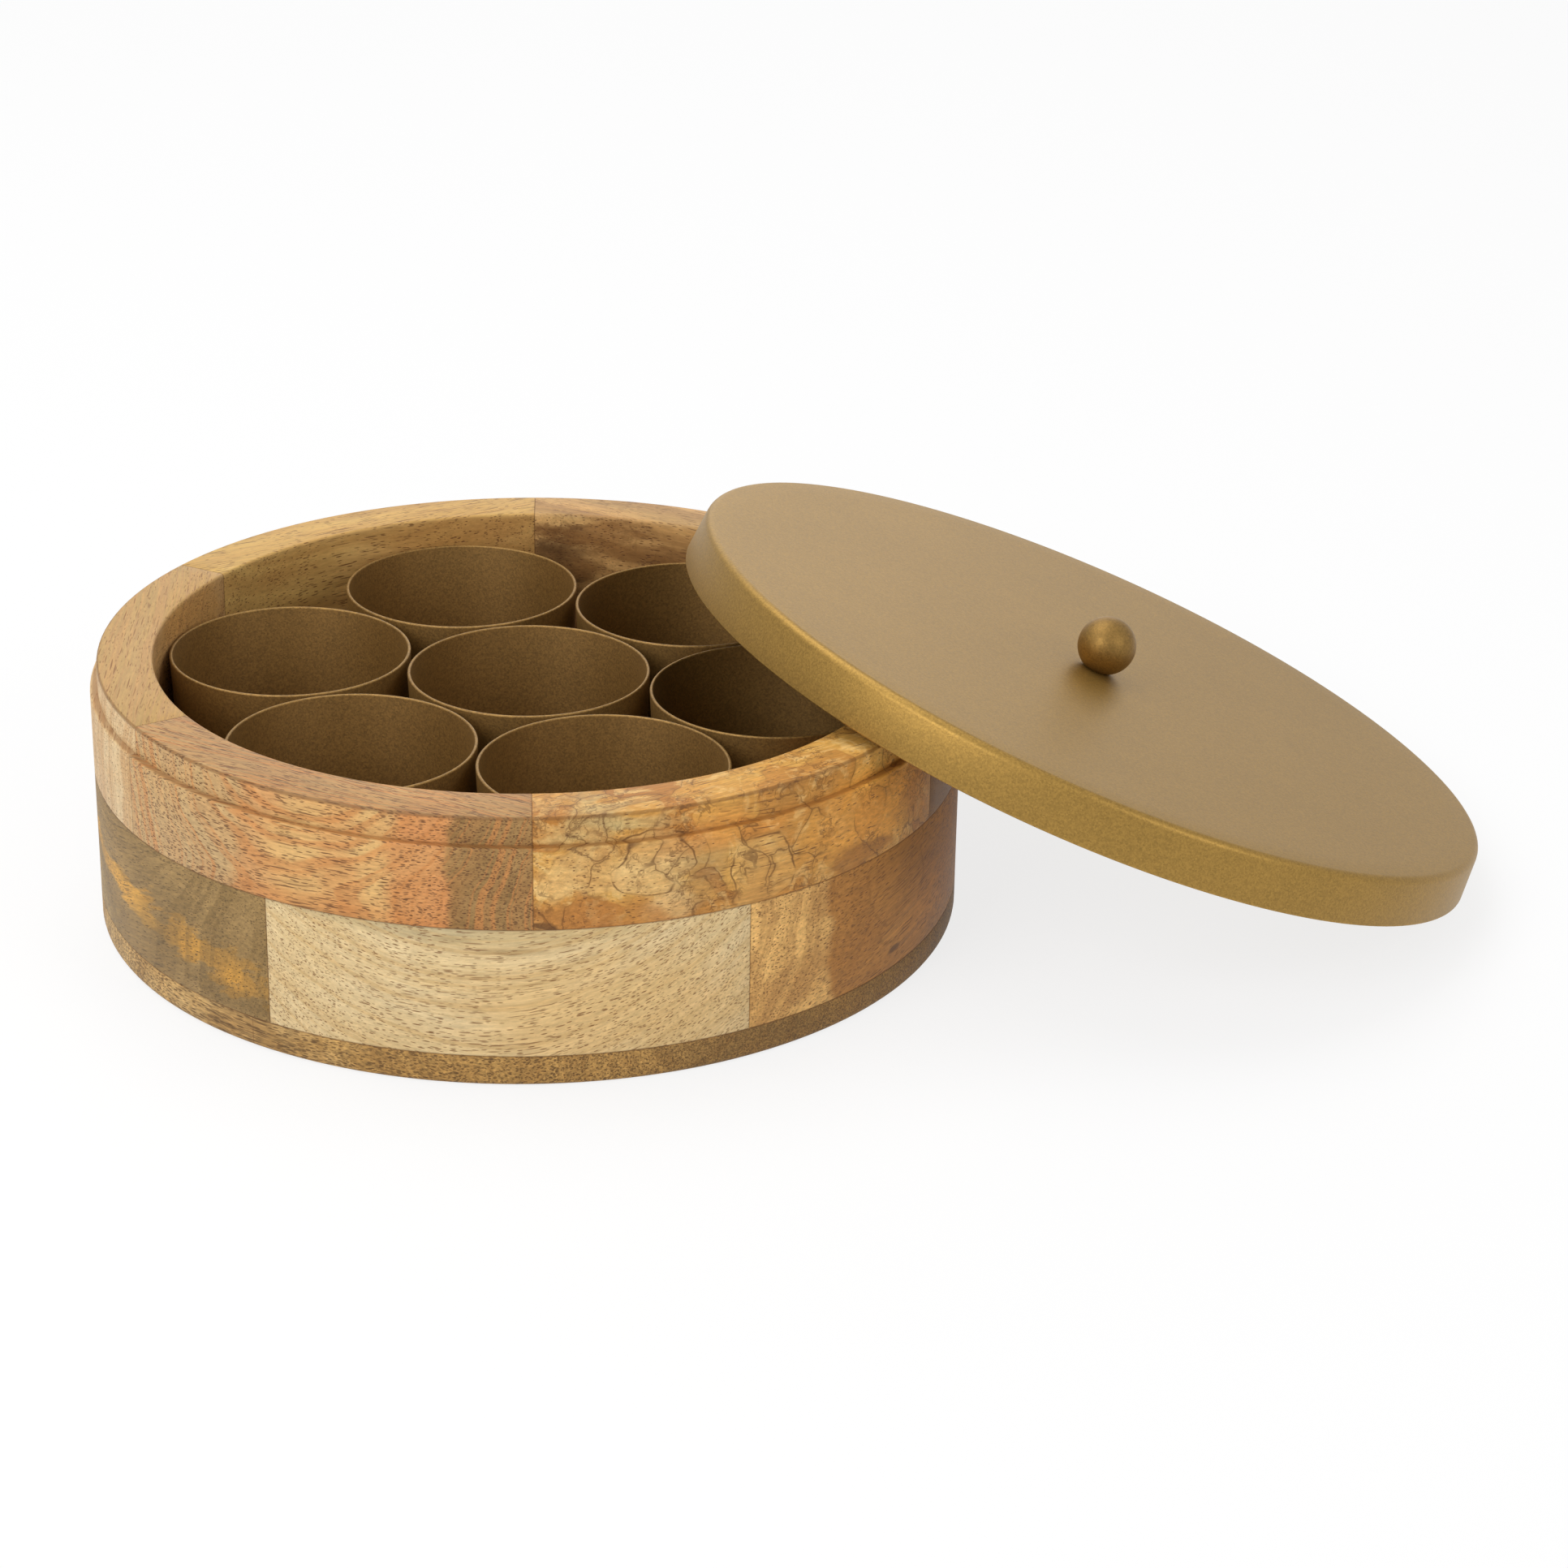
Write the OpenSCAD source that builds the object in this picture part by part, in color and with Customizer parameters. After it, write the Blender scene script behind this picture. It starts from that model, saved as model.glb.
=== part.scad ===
// Round wooden spice box: a glued ring box on a base board, seven loose metal
// cups inside, and a loose metal lid that leans on the rim at its +X side.
// The origin is the centre of the underside, +Z is up.

/* [Box] */

// Outer diameter of the wooden box
box_d = 230; // [215:1:250]

// Height of the box from the table to the rim
box_h = 71.5; // [68:0.5:80]

// Thickness of the board under the box
base_t = 8.2; // [6:0.2:9]

// Height of the glue line between the lower and the upper ring
ring_split_z = 42.5; // [35:0.5:48]

// Thickness of the turned wall
wall_t = 16.6; // [14:0.2:20]

// Width of the ledge outside the collar, where the lid's skirt rests
ledge_w = 2; // [1.8:0.1:3]

// Height of the collar above the lid ledge
collar_h = 7.4; // [5:0.2:9]

// Angle of the first joint in the upper ring
upper_joint_a = -97.6; // [-120:0.2:-70]

// Angle of the first joint in the lower ring
lower_joint_a = -70; // [-95:1:-45]

/* [Cups] */

// Gap between the rims of two neighbouring cups
cup_gap = 1.2; // [0.8:0.1:2.5]

// Gap between the rim of an outer cup and the wall
cup_wall_gap = 0.6; // [0.5:0.1:2]

// How far the wall of a cup slants inwards down to its foot
cup_taper = 2.7; // [1:0.1:4]

// Height of a cup
cup_h = 55.2; // [40:0.2:57]

// Sheet thickness of a cup
cup_t = 0.9; // [0.8:0.1:1.2]

// Angle of the first outer cup
cup_a = 158.6; // [150:0.2:170]

/* [Lid] */

// How far the open edge of the lid reaches outside the box
lid_over = 0.4; // [0:0.1:0.6]

// How far the lid's skirt slants outwards down to its open edge
lid_flare = 1.2; // [0.8:0.1:1.3]

// Height of the lid without its knob
lid_h = 13.4; // [12.5:0.1:14]

// Sheet thickness of the lid
lid_t = 1; // [0.8:0.1:1.2]

// Outer radius of the lid's shoulder
lid_shoulder_r = 2.2; // [1.6:0.1:3]

// Lean of the lid against the box, from flat
lid_tilt = 22; // [21:0.1:23]

// How far the leaning lid sits to one side of the box's middle
lid_side = -5.4; // [-7:0.2:7]

// Diameter of the ball knob
knob_d = 16; // [14:0.5:20]

/* [Hidden] */

$fn = 96;

// How many degrees of each ring its six blocks take up, in order from the first joint.
upper_shares = [62.6, 58, 58, 59.5, 61, 60.9];
lower_shares = [59, 59, 60, 60, 59.8, 62.2];
box_r = box_d / 2;
bore_r = box_r - wall_t;
collar_r = box_r - ledge_w;
ledge_z = box_h - collar_h;
base_edge_r = 1.6;
rim_edge_r = 0.8;
ledge_edge_r = 0.5;

cup_r = (bore_r - cup_wall_gap - cup_gap) / 3;
cup_foot_r = cup_r - cup_taper;
cup_pitch = 2 * cup_r + cup_gap;
cup_step_a = 60;
cup_corner_r = 5;
cup_lip_r = cup_t / 2;

lid_gap = 0.3;
lid_r = box_r + lid_over;
lid_top_r = lid_r - lid_flare;
lid_low_z = lid_r * sin(lid_tilt);
lid_inner_h = lid_h - lid_t;
lid_rise = (box_h - rim_edge_r - lid_low_z) * cos(lid_tilt);
lid_x = collar_r - rim_edge_r + (lid_rise + rim_edge_r + lid_gap - lid_inner_h) / sin(lid_tilt);

knob_foot_d = 7;
knob_sink = knob_d / 2 - sqrt(pow(knob_d / 2, 2) - pow(knob_foot_d / 2, 2));
screw_d = 4;
screw_hole_d = 4.6;
screw_bore_d = 4.2;
screw_reach = 9;
screw_head_d = 8;
screw_head_h = 2.2;
slot_w = 1.1;
slot_depth = 1;

pale_wood = [0.87, 0.76, 0.56];
tan_wood = [0.82, 0.67, 0.46];
rose_wood = [0.80, 0.58, 0.37];
spalted_wood = [0.76, 0.56, 0.32];
brown_wood = [0.58, 0.40, 0.22];
olive_wood = [0.55, 0.43, 0.26];
base_wood = [0.62, 0.46, 0.28];
gold = [0.62, 0.50, 0.31];
cup_gold = [0.48, 0.36, 0.20];
steel = [0.70, 0.70, 0.70];

// Outline of a pan with a slanted wall and a round corner at its foot,
// for turning about the upright axis.
module pan_outline(foot_r, rim_r, height, corner_r) {
  lean = atan((rim_r - foot_r) / height);
  corner_x = foot_r - corner_r * (1 - sin(lean)) / cos(lean);
  polygon([
    [0, 0],
    [corner_x, 0],
    [corner_x + corner_r * cos(lean), corner_r * (1 - sin(lean))],
    [rim_r, height],
    [0, height]
  ]);
  intersection() {
    translate([corner_x, corner_r]) circle(r = corner_r);
    translate([corner_x - corner_r, 0]) square([2 * corner_r, corner_r]);
  }
}

// Outline of a sheet pan: one pan with a smaller one taken out of it.
module sheet_outline(foot_r, rim_r, height, corner_r, sheet) {
  slope = (rim_r - foot_r) / height;
  difference() {
    pan_outline(foot_r, rim_r, height, corner_r);
    translate([0, sheet])
      pan_outline(foot_r - sheet + slope * sheet, rim_r - sheet + slope * sheet, height, corner_r - sheet);
  }
}

// A rectangle in the turning plane with its outer top corner rounded.
module eased_block(inner_r, outer_r, low_z, high_z, ease) {
  translate([inner_r, low_z]) square([outer_r - inner_r - ease, high_z - low_z]);
  translate([inner_r, low_z]) square([outer_r - inner_r, high_z - low_z - ease]);
  translate([outer_r - ease, high_z - ease]) circle(r = ease);
}

module base_disc() {
  color(base_wood)
    rotate_extrude() {
      square([box_r - base_edge_r, base_t]);
      translate([0, base_edge_r]) square([box_r, base_t - base_edge_r]);
      translate([box_r - base_edge_r, base_edge_r]) circle(r = base_edge_r);
    }
}

// Degrees that the blocks before this one take up in their ring.
function before(shares, index) = index < 2 ? 0 : shares[index - 2] + before(shares, index - 1);

// One glued block of the lower ring, counted round from the first joint.
module lower_block(index, wood) {
  color(wood)
    rotate([0, 0, lower_joint_a + before(lower_shares, index)])
      rotate_extrude(angle = lower_shares[index - 1])
        translate([bore_r, base_t])
          square([box_r - bore_r, ring_split_z - base_t]);
}

// One glued block of the upper ring, with its share of the ledge and collar.
module upper_block(index, wood) {
  color(wood)
    rotate([0, 0, upper_joint_a + before(upper_shares, index)])
      rotate_extrude(angle = upper_shares[index - 1]) {
        eased_block(bore_r + rim_edge_r, box_r, ring_split_z, ledge_z, ledge_edge_r);
        eased_block(bore_r + rim_edge_r, collar_r, ring_split_z, box_h, rim_edge_r);
        translate([bore_r, ring_split_z]) square([2 * rim_edge_r, box_h - ring_split_z - rim_edge_r]);
        translate([bore_r + rim_edge_r, box_h - rim_edge_r]) circle(r = rim_edge_r);
      }
}

// The cup every place in the box holds, standing on the base board.
module cup() {
  color(cup_gold)
    translate([0, 0, base_t])
      rotate_extrude() {
        sheet_outline(cup_foot_r, cup_r, cup_h - cup_lip_r, cup_corner_r, cup_t);
        translate([cup_r - cup_lip_r, cup_h - cup_lip_r]) circle(r = cup_lip_r);
      }
}

// An outer cup, counted round from the first one.
module outer_cup(index) {
  outer_a = cup_a + (index - 1) * cup_step_a;
  translate([cup_pitch * cos(outer_a), cup_pitch * sin(outer_a), 0]) cup();
}

// Carries a lid piece from flat on its skirt to the way it leans on the box.
module leaning() {
  translate([lid_x, lid_side, lid_low_z]) rotate([0, lid_tilt, 0]) children();
}

module lid_shell() {
  color(gold)
    leaning()
      difference() {
        translate([0, 0, lid_h])
          mirror([0, 0, 1])
            rotate_extrude()
              sheet_outline(lid_top_r, lid_r, lid_h, lid_shoulder_r, lid_t);
        translate([0, 0, lid_inner_h - lid_t]) cylinder(d = screw_hole_d, h = 3 * lid_t);
      }
}

module lid_knob() {
  color(gold)
    leaning()
      translate([0, 0, lid_h])
        difference() {
          translate([0, 0, knob_d / 2 - knob_sink]) sphere(d = knob_d);
          translate([-knob_d, -knob_d, -knob_d]) cube([2 * knob_d, 2 * knob_d, knob_d]);
          translate([0, 0, -knob_sink]) cylinder(d = screw_bore_d, h = screw_reach + knob_sink);
        }
}

module lid_knob_screw() {
  color(steel)
    leaning()
      translate([0, 0, lid_inner_h])
        difference() {
          union() {
            translate([0, 0, -screw_head_h]) cylinder(d = screw_head_d, h = screw_head_h);
            cylinder(d = screw_d, h = screw_reach);
          }
          translate([-screw_head_d, -slot_w / 2, -2 * screw_head_h])
            cube([2 * screw_head_d, slot_w, screw_head_h + slot_depth]);
        }
}

base_disc();
lower_block(1, brown_wood);  // lower_ring_segment_1
lower_block(2, tan_wood);  // lower_ring_segment_2
lower_block(3, rose_wood);  // lower_ring_segment_3
lower_block(4, brown_wood);  // lower_ring_segment_4
lower_block(5, olive_wood);  // lower_ring_segment_5
lower_block(6, pale_wood);  // lower_ring_segment_6
upper_block(1, spalted_wood);  // upper_ring_segment_1
upper_block(2, tan_wood);  // upper_ring_segment_2
upper_block(3, spalted_wood);  // upper_ring_segment_3
upper_block(4, tan_wood);  // upper_ring_segment_4
upper_block(5, tan_wood);  // upper_ring_segment_5
upper_block(6, rose_wood);  // upper_ring_segment_6
cup();  // cup_centre
outer_cup(1);  // cup_1
outer_cup(2);  // cup_2
outer_cup(3);  // cup_3
outer_cup(4);  // cup_4
outer_cup(5);  // cup_5
outer_cup(6);  // cup_6
lid_shell();
lid_knob();
lid_knob_screw();
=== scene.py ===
# %% [markdown]
# # A round spice box of glued mango wood, with gold metal cups and lid
#
# This lesson dresses the measured model of a spice box. The box is turned from
# two rings of glued wooden blocks on a base board. Seven metal cups stand in it,
# and a metal lid with a ball knob leans on its rim.
#
# The measured model is the frame: it fixes where each piece is. Each piece is
# modelled here again with soft edges, and takes its finish from nodes, so no
# picture files are needed.

# %% Load the frame
import math

import bmesh
import bpy
from mathutils import Matrix, Vector


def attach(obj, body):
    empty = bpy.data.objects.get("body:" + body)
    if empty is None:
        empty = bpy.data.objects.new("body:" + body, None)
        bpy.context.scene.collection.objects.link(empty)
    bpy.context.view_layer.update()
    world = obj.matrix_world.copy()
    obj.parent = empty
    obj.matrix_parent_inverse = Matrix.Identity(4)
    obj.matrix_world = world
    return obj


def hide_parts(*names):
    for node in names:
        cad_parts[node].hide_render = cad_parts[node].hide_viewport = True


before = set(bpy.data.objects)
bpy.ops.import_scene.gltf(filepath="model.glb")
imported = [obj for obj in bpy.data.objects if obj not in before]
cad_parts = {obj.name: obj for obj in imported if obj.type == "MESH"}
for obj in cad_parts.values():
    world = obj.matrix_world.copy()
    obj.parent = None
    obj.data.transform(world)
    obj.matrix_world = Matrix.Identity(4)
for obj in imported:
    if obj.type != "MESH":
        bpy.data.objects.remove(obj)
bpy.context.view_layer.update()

MM = 0.001
print("nodes in the frame:", len(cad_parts))

# %% [markdown]
# ## Sizes of the real object
#
# All sizes are in metres and match the frame. The box is 230 mm across, and the
# lid sits on a narrow ledge round a collar. The lid leans at 22 degrees about a
# line along Y, so its pieces are made flat and then turned into place.

# %% Sizes
def radians_of(degrees):
    """Angles in degrees, as the radians that Blender uses."""
    return [math.radians(angle) for angle in degrees]


BOX_R = 115.0 * MM
BORE_R = 98.4 * MM
COLLAR_R = 113.0 * MM
BASE_TOP = 8.2 * MM
SPLIT_Z = 42.5 * MM
LEDGE_Z = 64.1 * MM
RIM_Z = 71.5 * MM
UPPER_JOINTS = radians_of((-97.6, -35.0, 23.0, 81.0, 140.5, 201.5, 262.4))
LOWER_JOINTS = radians_of((-70.0, -11.0, 48.0, 108.0, 168.0, 227.8, 290.0))

CUP_R = 32.2 * MM
CUP_FOOT_R = 29.5 * MM
CUP_H = 55.2 * MM
CUP_SHEET = 0.9 * MM
CUP_PITCH = 65.6 * MM
CUP_START = math.radians(158.6)
CUP_STEP = math.radians(60.0)

LID_R = 115.4 * MM
LID_TOP_R = 114.2 * MM
LID_H = 13.4 * MM
LID_SHEET = 1.0 * MM
LID_TILT = math.radians(22.0)
RIM_EDGE = 0.8 * MM
LID_GAP = 0.3 * MM
LID_LOW_Z = LID_R * math.sin(LID_TILT)
LID_RISE = (RIM_Z - RIM_EDGE - LID_LOW_Z) * math.cos(LID_TILT)
LID_X = COLLAR_R - RIM_EDGE + (LID_RISE + RIM_EDGE + LID_GAP - LID_H + LID_SHEET) / math.sin(LID_TILT)
LID_ORIGIN = Vector((LID_X, -5.4 * MM, LID_LOW_Z))
KNOB_R = 8.0 * MM
print("lid origin in mm:", [round(c / MM, 2) for c in LID_ORIGIN])

# %% [markdown]
# ## Helpers for hand modelling
#
# Operators act on whatever is selected. So each step starts from nothing
# selected, and faces or edges are then picked by where they are. That keeps the
# steps the same as those of a person working with the mouse.

# %% Helpers
def nothing_selected():
    """Leave edit mode if a piece is in it, and deselect all."""
    if bpy.context.object and bpy.context.object.mode != "OBJECT":
        bpy.ops.object.mode_set(mode="OBJECT")
    bpy.ops.object.select_all(action="DESELECT")


def start(piece):
    """Open a piece in edit mode with nothing of it selected."""
    nothing_selected()
    piece.select_set(True)
    bpy.context.view_layer.objects.active = piece
    bpy.ops.object.mode_set(mode="EDIT")
    bpy.ops.mesh.select_all(action="DESELECT")


def pick(piece, kind, test):
    """Select the vertices, edges or faces whose every corner passes the test, in edit mode."""
    modes = {"verts": "VERT", "edges": "EDGE", "faces": "FACE"}
    bpy.ops.mesh.select_all(action="DESELECT")
    bpy.ops.mesh.select_mode(type=modes[kind])
    mesh = bmesh.from_edit_mesh(piece.data)
    for part in getattr(mesh, kind):
        spots = [part.co] if kind == "verts" else [v.co for v in part.verts]
        if all(test(spot) for spot in spots):
            part.select_set(True)
    mesh.select_flush_mode()
    bmesh.update_edit_mesh(piece.data)


def done(piece, smooth):
    """Leave edit mode and shade the piece smooth, but for edges sharper than the angle."""
    bpy.ops.object.mode_set(mode="OBJECT")
    nothing_selected()
    piece.select_set(True)
    bpy.context.view_layer.objects.active = piece
    bpy.ops.object.shade_smooth_by_angle(angle=math.radians(smooth))


def modify(piece, kind, **values):
    """Add one modifier with these values and apply it."""
    nothing_selected()
    piece.select_set(True)
    bpy.context.view_layer.objects.active = piece
    step = piece.modifiers.new(kind.title(), kind)
    for name, value in values.items():
        setattr(step, name, value)
    bpy.ops.object.modifier_apply(modifier=step.name)


def settle(piece):
    """Put the place of a piece in its mesh."""
    nothing_selected()
    piece.select_set(True)
    bpy.context.view_layer.objects.active = piece
    bpy.ops.object.transform_apply(location=True, rotation=True, scale=True)


def copy_of(piece, name):
    """A second piece with a mesh of its own."""
    twin = piece.copy()
    twin.data = piece.data.copy()
    twin.name = name
    twin.data.name = name
    bpy.context.scene.collection.objects.link(twin)
    return twin


def check(piece):
    """Print how many triangles a piece has, and whether it is closed and faces outwards."""
    mesh = bmesh.new()
    mesh.from_mesh(piece.data)
    open_edges = sum(1 for e in mesh.edges if not e.is_manifold)
    volume = mesh.calc_volume(signed=True) * 1e6
    triangles = sum(len(f.verts) - 2 for f in mesh.faces)
    mesh.free()
    print(f"{piece.name}: {triangles} triangles, {open_edges} open edges, {volume:.2f} cm3")


print("helpers ready, lengths in metres")

# %% [markdown]
# ## Shader groups
#
# Mango wood shows four things at once: slow bands from the growth rings, fine
# fibres, short dark pores that look like dashes along the grain and like dots
# across it, and stains. One solid pattern in 3-D gives all of them, because a
# turned block is cut from solid wood. The group takes a point in millimetres
# with X along the grain, and a base colour that each block chooses for itself.
#
# A node tree made in code is mostly small sums. So each kind of node gets a
# short helper that returns its output, and the sums can then be read like text.

# %% Node helpers
VECTOR = "NodeSocketVector"
COLOUR = "NodeSocketColor"
NUMBER = "NodeSocketFloat"


def new_group(name, inputs, outputs):
    """A shader group with these inputs and outputs, and the nodes at its two ends."""
    group = bpy.data.node_groups.new(name, "ShaderNodeTree")
    for label, kind, value in inputs:
        socket = group.interface.new_socket(name=label, in_out="INPUT", socket_type=kind)
        if value is not None:
            socket.default_value = value
    for label, kind in outputs:
        group.interface.new_socket(name=label, in_out="OUTPUT", socket_type=kind)
    return group, group.nodes.new("NodeGroupInput"), group.nodes.new("NodeGroupOutput")


def put(tree, value, socket):
    """Feed a socket with a plain value or with another socket."""
    if isinstance(value, bpy.types.NodeSocket):
        tree.links.new(value, socket)
    else:
        socket.default_value = value


def maths(tree, operation, first, second=0.0):
    node = tree.nodes.new("ShaderNodeMath")
    node.operation = operation
    put(tree, first, node.inputs[0])
    put(tree, second, node.inputs[1])
    return node.outputs[0]


def plus(tree, first, second):
    return maths(tree, "ADD", first, second)


def minus(tree, first, second):
    return maths(tree, "SUBTRACT", first, second)


def times(tree, first, second):
    return maths(tree, "MULTIPLY", first, second)


def larger(tree, first, second):
    return maths(tree, "MAXIMUM", first, second)


def vector_maths(tree, operation, first, second=(0, 0, 0)):
    node = tree.nodes.new("ShaderNodeVectorMath")
    node.operation = operation
    put(tree, first, node.inputs[0])
    put(tree, second, node.inputs[1])
    return node.outputs["Value" if operation == "LENGTH" else "Vector"]


def scaled(tree, vector, by):
    node = tree.nodes.new("ShaderNodeVectorMath")
    node.operation = "SCALE"
    put(tree, vector, node.inputs[0])
    put(tree, by, node.inputs["Scale"])
    return node.outputs["Vector"]


def stretched(tree, vector, stretch):
    """A small number along one axis draws the pattern out along that axis."""
    return vector_maths(tree, "MULTIPLY", vector, stretch)


def split(tree, vector):
    parts = tree.nodes.new("ShaderNodeSeparateXYZ")
    put(tree, vector, parts.inputs[0])
    return parts.outputs


def joined(tree, x=0.0, y=0.0, z=0.0):
    whole = tree.nodes.new("ShaderNodeCombineXYZ")
    for part, socket in zip((x, y, z), whole.inputs):
        put(tree, part, socket)
    return whole.outputs[0]


def split_colour(tree, colour):
    """Red, green and blue, which in the colour of a Voronoi cell are three random numbers."""
    parts = tree.nodes.new("ShaderNodeSeparateColor")
    put(tree, colour, parts.inputs[0])
    return parts.outputs


print("small sums ready")

# %% [markdown]
# Two kinds of node make all the patterns: Noise, which is soft and cloudy, and
# Voronoi, which is made of cells. Map Range turns either into a mask, and Mix
# lays one colour over another by that mask.

# %% Pattern helpers
def noise(tree, vector, scale=1.0, detail=2.0, rough=0.5, colour=False):
    node = tree.nodes.new("ShaderNodeTexNoise")
    put(tree, vector, node.inputs["Vector"])
    put(tree, scale, node.inputs["Scale"])
    node.inputs["Detail"].default_value = detail
    node.inputs["Roughness"].default_value = rough
    return node.outputs["Color"] if colour else node.outputs["Fac"]


def push_from(tree, vector, detail=2.0):
    """A noise as a push, up to a half each way along each axis."""
    return vector_maths(tree, "SUBTRACT", noise(tree, vector, 1.0, detail, 0.5, True), (0.5, 0.5, 0.5))


def voronoi(tree, vector, feature="F1"):
    node = tree.nodes.new("ShaderNodeTexVoronoi")
    node.feature = feature
    put(tree, vector, node.inputs["Vector"])
    node.inputs["Scale"].default_value = 1.0
    return node


def smooth_range(tree, value, low, high, to_low=0.0, to_high=1.0):
    node = tree.nodes.new("ShaderNodeMapRange")
    node.interpolation_type = "SMOOTHSTEP"
    put(tree, value, node.inputs["Value"])
    put(tree, low, node.inputs["From Min"])
    put(tree, high, node.inputs["From Max"])
    put(tree, to_low, node.inputs["To Min"])
    put(tree, to_high, node.inputs["To Max"])
    return node.outputs["Result"]


def mixed(tree, mask, first, second, mode="MIX"):
    node = tree.nodes.new("ShaderNodeMix")
    node.data_type = "RGBA"
    node.blend_type = mode
    node.clamp_factor = True
    put(tree, mask, node.inputs[0])
    put(tree, first, node.inputs[6])
    put(tree, second, node.inputs[7])
    return node.outputs[2]


def brightened(tree, colour, lift):
    """The colour made lighter or darker, where a lift of 1 leaves it as it is."""
    grey = tree.nodes.new("ShaderNodeCombineColor")
    for channel in range(3):
        put(tree, lift, grey.inputs[channel])
    return mixed(tree, 1.0, colour, grey.outputs[0], "MULTIPLY")


def srgb(red, green, blue):
    """A colour as it is seen on a screen, 0 to 255, as the linear colour that nodes use."""
    def linear(channel):
        share = channel / 255
        return ((share + 0.055) / 1.055) ** 2.4 if channel > 10 else share / 12.92
    return linear(red), linear(green), linear(blue), 1.0


print("pattern helpers ready, mid grey is", round(srgb(128, 128, 128)[0], 3))

# %% [markdown]
# The first group bends the straight grain of the board a little, as all real
# grain is bent. It lays clouds, growth bands, fine stripes, fibres and pores over
# the base colour. The bands and stripes are rings round the pith, the middle of
# the tree, so they lie flat on one block and stand upright on another. The pores
# come from Voronoi cells that are pulled long along the grain: a short sort that
# fills the wood, and a long sort.

# %% Mango grain
def bent_grain(group, given):
    """The point with its grain bent by a slow drift and a small ripple, and that bend alone."""
    point = vector_maths(group, "ADD", given.outputs["Vector"], given.outputs["Seed"])
    slow = push_from(group, stretched(group, point, (0.010, 0.022, 0.022)))
    quick = push_from(group, stretched(group, point, (0.05, 0.1, 0.1)))
    ripple = stretched(group, quick, (0.0, 1.2, 1.2))
    drift = vector_maths(group, "ADD", scaled(group, slow, given.outputs["Wander"]), ripple)
    return vector_maths(group, "ADD", point, drift), drift


def growth_rings(group, given, bent, drift, colour):
    """Bands round the middle of the tree, with finer stripes between them."""
    moved = vector_maths(group, "ADD", given.outputs["Vector"], drift)
    around = vector_maths(group, "SUBTRACT", moved, given.outputs["Pith"])
    ring = vector_maths(group, "LENGTH", stretched(group, around, (0.0, 1.0, 1.0)))
    uneven = times(group, noise(group, stretched(group, bent, (0.02, 0.06, 0.06))), 1.2)
    turn = plus(group, maths(group, "DIVIDE", ring, given.outputs["Band Width"]), uneven)
    saw = maths(group, "FRACT", turn)
    rise = smooth_range(group, saw, 0.0, 0.7)
    fall = smooth_range(group, saw, 0.78, 1.0, 1.0, 0.0)
    band = times(group, times(group, rise, fall), given.outputs["Bands"])
    broad = noise(group, stretched(group, bent, (0.015, 0.06, 0.06)), 1.0, 3.0, 0.55)
    band = times(group, band, smooth_range(group, broad, 0.3, 0.65, 0.25, 1.3))
    colour = mixed(group, band, colour, given.outputs["Band Colour"])

    lane = maths(group, "DIVIDE", ring, given.outputs["Stripe Width"])
    lane = plus(group, lane, times(group, uneven, 3.0))
    along = noise(group, stretched(group, bent, (0.012, 0.0, 0.0)), 1.0, 1.0)
    stripe = smooth_range(group, noise(group, joined(group, lane, along), 1.0, 1.0), 0.48, 0.64)
    return mixed(group, times(group, stripe, given.outputs["Stripes"]), colour,
                 given.outputs["Band Colour"])


def pore_layer(group, point, stretch, gate, size):
    """Dark middles of long cells: how deep each pore is, from 0 to 1."""
    cells = voronoi(group, stretched(group, point, stretch))
    chance = split_colour(group, cells.outputs["Color"])
    kept = maths(group, "GREATER_THAN", gate, chance[0])
    reach = times(group, size, plus(group, 0.6, times(group, chance[1], 0.7)))
    hole = smooth_range(group, cells.outputs["Distance"], times(group, reach, 0.6), reach, 1.0, 0.0)
    depth = plus(group, 0.55, times(group, chance[2], 0.45))
    return times(group, times(group, hole, kept), depth)


def pore_pattern(group, given, bent):
    """Short and long pores, many in some bands of the wood and few in others."""
    crowd = noise(group, stretched(group, bent, (0.02, 0.14, 0.14)))
    gate = plus(group, given.outputs["Pores"], minus(group, crowd, 0.5))
    size = given.outputs["Pore Size"]
    short = pore_layer(group, bent, (0.36, 2.1, 2.1), times(group, gate, 0.75), size)
    long = pore_layer(group, bent, (0.085, 2.0, 2.0), gate, size)
    return larger(group, short, long)


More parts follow.
